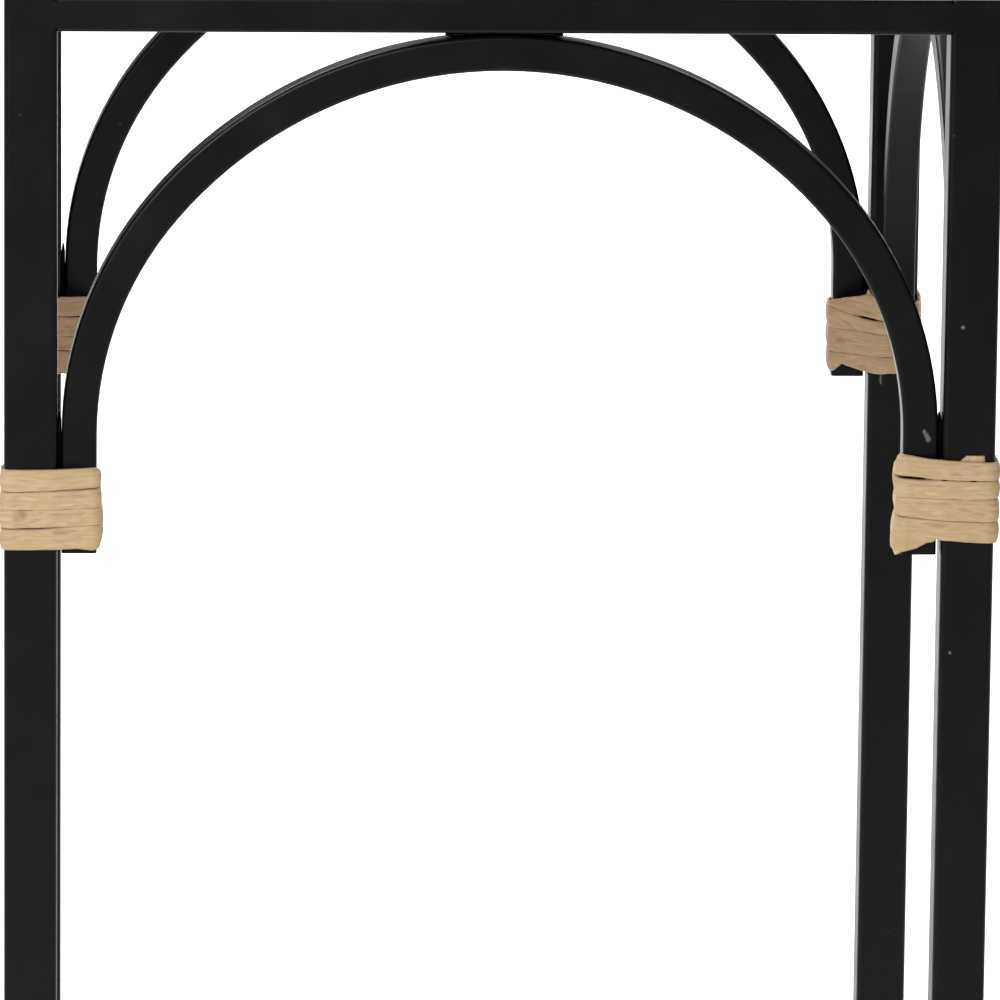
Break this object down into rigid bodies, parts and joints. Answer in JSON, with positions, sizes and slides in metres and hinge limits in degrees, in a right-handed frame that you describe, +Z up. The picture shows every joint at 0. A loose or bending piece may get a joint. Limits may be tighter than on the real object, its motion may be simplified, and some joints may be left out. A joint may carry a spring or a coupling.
{
  "type": "square arched stand frame",
  "caption": "Open square stand frame in black steel tube, with a flat-crowned arch in every side and the arch ends bound to the legs with pale rattan peel.",
  "frame": {"origin": "centre of the footprint, on the floor under the glides", "axes": "+Z up, +X to the right and -Y towards the viewer; all four sides are alike"},
  "size_m": [0.3586, 0.3586, 0.7],
  "materials": {
    "black_powder_coat": "satin",
    "rattan_peel": "matte",
    "glide_plastic": "matte"
  },
  "bodies": {
    "root": {"leg_front_left": "black_powder_coat", "leg_cap_front_left": "black_powder_coat", "foot_glide_front_left": "glide_plastic", "rattan_binding_front_left": "rattan_peel", "leg_front_right": "black_powder_coat", "leg_cap_front_right": "black_powder_coat", "foot_glide_front_right": "glide_plastic", "rattan_binding_front_right": "rattan_peel", "leg_back_right": "black_powder_coat", "leg_cap_back_right": "black_powder_coat", "foot_glide_back_right": "glide_plastic", "rattan_binding_back_right": "rattan_peel", "leg_back_left": "black_powder_coat", "leg_cap_back_left": "black_powder_coat", "foot_glide_back_left": "glide_plastic", "rattan_binding_back_left": "rattan_peel", "top_rail_front": "black_powder_coat", "arch_front": "black_powder_coat", "top_rail_right": "black_powder_coat", "arch_right": "black_powder_coat", "top_rail_back": "black_powder_coat", "arch_back": "black_powder_coat", "top_rail_left": "black_powder_coat", "arch_left": "black_powder_coat", "crown_welds": "black_powder_coat", "limb_welds": "black_powder_coat", "rail_welds": "black_powder_coat"}
  },
  "joints": []
}
